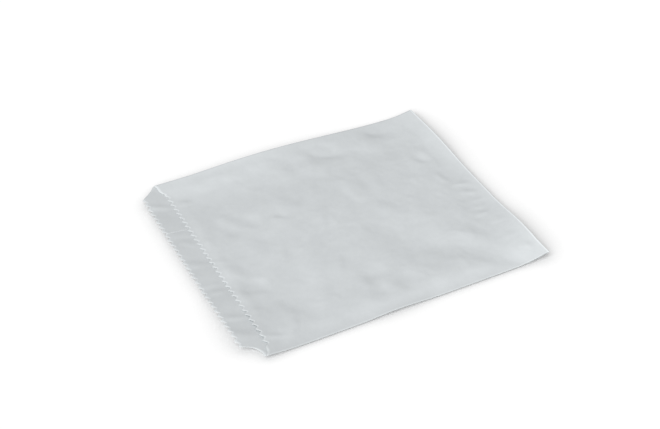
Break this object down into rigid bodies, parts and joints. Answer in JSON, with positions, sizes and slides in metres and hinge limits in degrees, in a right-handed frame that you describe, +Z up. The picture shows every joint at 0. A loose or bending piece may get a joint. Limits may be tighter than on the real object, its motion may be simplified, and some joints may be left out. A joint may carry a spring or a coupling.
{
  "type": "flat paper bag",
  "caption": "Flat white paper bag lying on its back, with a toothed open mouth, a longer back lip, a lapped back seam and a folded, glued bottom.",
  "frame": {"origin": "on the table under the middle of the bag's footprint", "axes": "+X across the bag, +Y from the open mouth towards the folded bottom, +Z up from the back panel to the front panel"},
  "size_m": [0.165, 0.2012, 0.0058],
  "materials": {
    "white_paper": "uncoated, slightly cool white, thin and soft"
  },
  "bodies": {
    "root": {"paper_bag": "white_paper"}
  },
  "joints": []
}
